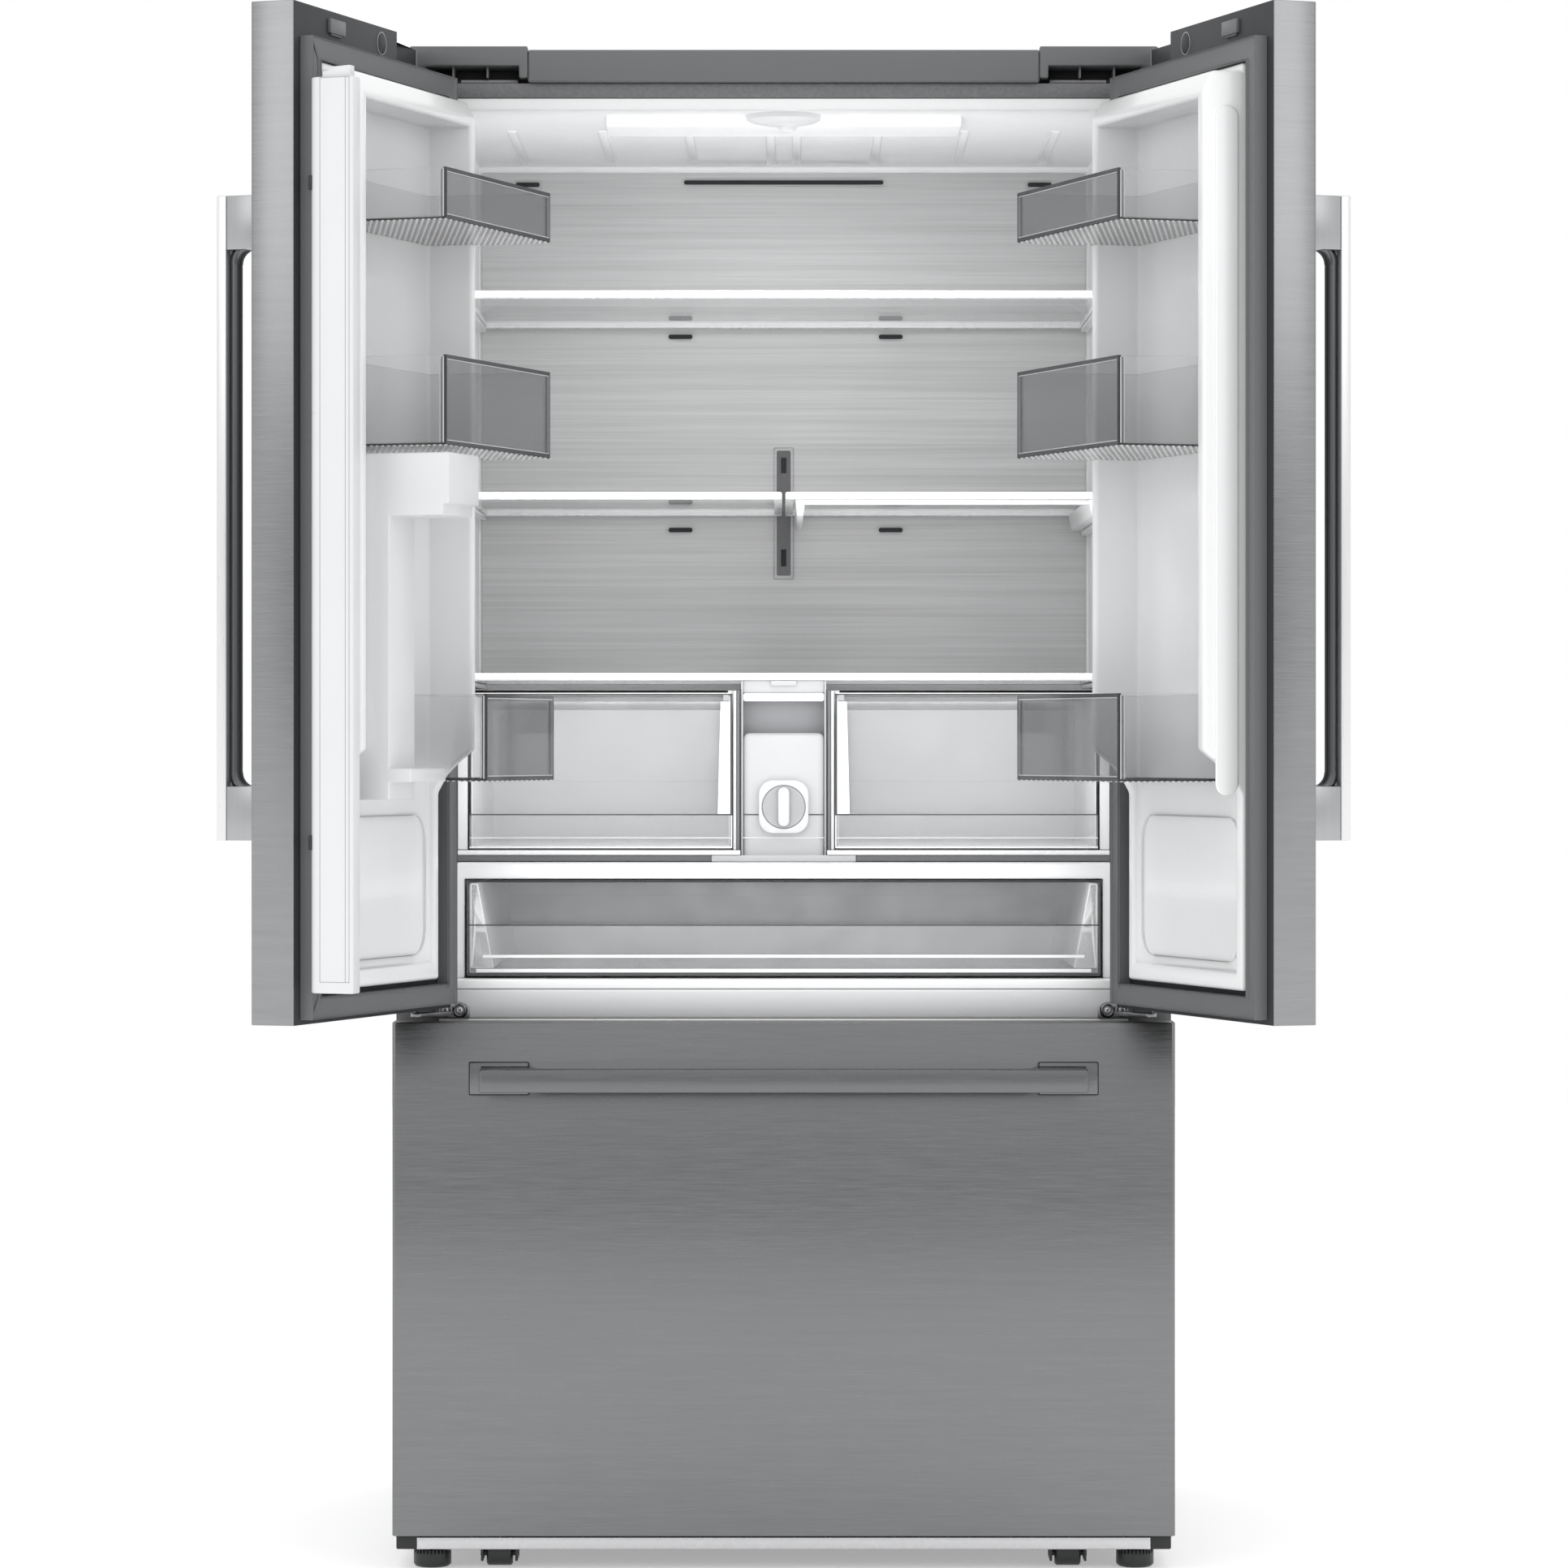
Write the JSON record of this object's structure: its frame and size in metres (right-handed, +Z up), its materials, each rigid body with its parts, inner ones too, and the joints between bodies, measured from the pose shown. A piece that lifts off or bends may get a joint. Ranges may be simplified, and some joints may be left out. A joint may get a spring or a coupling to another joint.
{
  "type": "french door refrigerator",
  "caption": "Stainless french door refrigerator with bottom freezer drawer, bar handles, glass shelves, clear bins, crispers and pantry drawer; doors rest open.",
  "frame": {"origin": "On the floor, in the middle of the footprint of the refrigerator with its doors resting open.", "axes": "+X to the right seen from the front, +Y from the doors to the back, +Z up."},
  "size_m": [1.2504, 1.2372, 1.778],
  "materials": {
    "case_paint": "dark grey textured paint",
    "foam": "rigid foam",
    "white_plastic": "smooth white moulded plastic",
    "dark_plastic": "dark grey moulded plastic",
    "plated_steel": "bright plated steel",
    "cooling_metal": "pale horizontally brushed metal",
    "shelf_glass": "clear glass with a white rim",
    "compressor_paint": "black enamel",
    "stainless": "horizontally brushed stainless, satin",
    "gasket": "grey ribbed soft gasket",
    "clear_plastic": "clear smoked moulded plastic",
    "black_plastic": "black moulded plastic"
  },
  "bodies": {
    "cabinet": {"side_panel_left": "case_paint", "side_panel_right": "case_paint", "top_panel": "case_paint", "back_panel": "case_paint", "base_plate": "case_paint", "insulation": "foam", "fridge_liner": "white_plastic", "freezer_liner": "white_plastic", "crossbar": "white_plastic", "top_trim": "dark_plastic", "hinge_cover_left": "dark_plastic", "hinge_cover_right": "dark_plastic", "top_hinge_left": "plated_steel", "top_hinge_right": "plated_steel", "middle_hinge_left": "plated_steel", "middle_hinge_right": "plated_steel", "cooling_plate": "cooling_metal", "shelf_top": "shelf_glass", "shelf_left": "shelf_glass", "shelf_right": "shelf_glass", "crisper_cover": "shelf_glass", "filter_housing": "white_plastic", "pantry_frame": "white_plastic", "compressor": "compressor_paint", "toe_rail": "plated_steel"},
    "door_left": {"door_left_skin": "stainless", "door_left_core": "dark_plastic", "door_left_liner": "white_plastic", "door_left_gasket": "gasket", "door_left_handle": "stainless", "door_left_bin_top": "clear_plastic", "door_left_bin_middle": "clear_plastic", "door_left_bin_bottom": "clear_plastic", "ice_maker": "white_plastic"},
    "door_right": {"door_right_skin": "stainless", "door_right_core": "dark_plastic", "door_right_liner": "white_plastic", "door_right_gasket": "gasket", "door_right_handle": "stainless", "door_right_bin_top": "clear_plastic", "door_right_bin_middle": "clear_plastic", "door_right_bin_bottom": "clear_plastic"},
    "flap": {"mullion_flap": "white_plastic"},
    "drawer": {"drawer_skin": "stainless", "drawer_core": "dark_plastic", "drawer_liner": "white_plastic", "drawer_gasket": "gasket", "drawer_handle": "stainless", "drawer_frame": "plated_steel", "lower_basket": "white_plastic"},
    "freezer_basket": {"upper_basket": "white_plastic"},
    "crisper_left": {"crisper_left": "clear_plastic"},
    "crisper_right": {"crisper_right": "clear_plastic"},
    "pantry": {"pantry_drawer": "clear_plastic"},
    "filter": {"filter_knob": "white_plastic"},
    "foot_left": {"foot_left": "black_plastic"},
    "roller_left": {"roller_left": "black_plastic"},
    "foot_right": {"foot_right": "black_plastic"},
    "roller_right": {"roller_right": "black_plastic"},
    "rear_rollers": {"rear_rollers": "black_plastic"}
  },
  "joints": [
    {"name": "door_left_hinge", "type": "hinge", "parent": "cabinet", "child": "door_left", "pos_m": [-0.426, -0.191, 1.2], "axis": [0, 0, -1], "range_deg": [-108.9, 11.1]},
    {"name": "door_right_hinge", "type": "hinge", "parent": "cabinet", "child": "door_right", "pos_m": [0.426, -0.191, 1.2], "axis": [0, 0, 1], "range_deg": [-108.9, 11.1]},
    {"name": "flap_hinge", "type": "hinge", "parent": "door_left", "child": "flap", "pos_m": [-0.50452, -0.59537, 1.2], "axis": [0, 0, 1], "range_deg": [-90.01, 9.2]},
    {"name": "drawer_slide", "type": "slide", "parent": "cabinet", "child": "drawer", "axis": [0, -1, 0], "range_m": [0, 0.45]},
    {"name": "upper_basket_slide", "type": "slide", "parent": "drawer", "child": "freezer_basket", "axis": [0, 1, 0], "range_m": [0, 0.13]},
    {"name": "crisper_left_slide", "type": "slide", "parent": "cabinet", "child": "crisper_left", "axis": [0, -1, 0], "range_m": [0, 0.235]},
    {"name": "crisper_right_slide", "type": "slide", "parent": "cabinet", "child": "crisper_right", "axis": [0, -1, 0], "range_m": [0, 0.235]},
    {"name": "pantry_slide", "type": "slide", "parent": "cabinet", "child": "pantry", "axis": [0, -1, 0], "range_m": [0, 0.4]},
    {"name": "filter_turn", "type": "hinge", "parent": "cabinet", "child": "filter", "pos_m": [0, -0.0064, 0.886], "axis": [0, -1, 0], "range_deg": [0, 90]},
    {"name": "foot_left_turn", "type": "hinge", "parent": "cabinet", "child": "foot_left", "pos_m": [-0.411, -0.1494, 0], "axis": [0, 0, 1], "continuous": true},
    {"name": "foot_right_turn", "type": "hinge", "parent": "cabinet", "child": "foot_right", "pos_m": [0.411, -0.1494, 0], "axis": [0, 0, 1], "continuous": true},
    {"name": "roller_left_spin", "type": "hinge", "parent": "cabinet", "child": "roller_left", "pos_m": [-0.332, -0.1494, 0.0155], "axis": [1, 0, 0], "continuous": true},
    {"name": "roller_right_spin", "type": "hinge", "parent": "cabinet", "child": "roller_right", "pos_m": [0.332, -0.1494, 0.0155], "axis": [1, 0, 0], "continuous": true},
    {"name": "rear_rollers_spin", "type": "hinge", "parent": "cabinet", "child": "rear_rollers", "pos_m": [0, 0.5486, 0.015], "axis": [1, 0, 0], "continuous": true}
  ],
  "couplings": [
    {"joint": "flap_hinge", "follows": "door_left_hinge", "ratio": 0.82645}
  ]
}
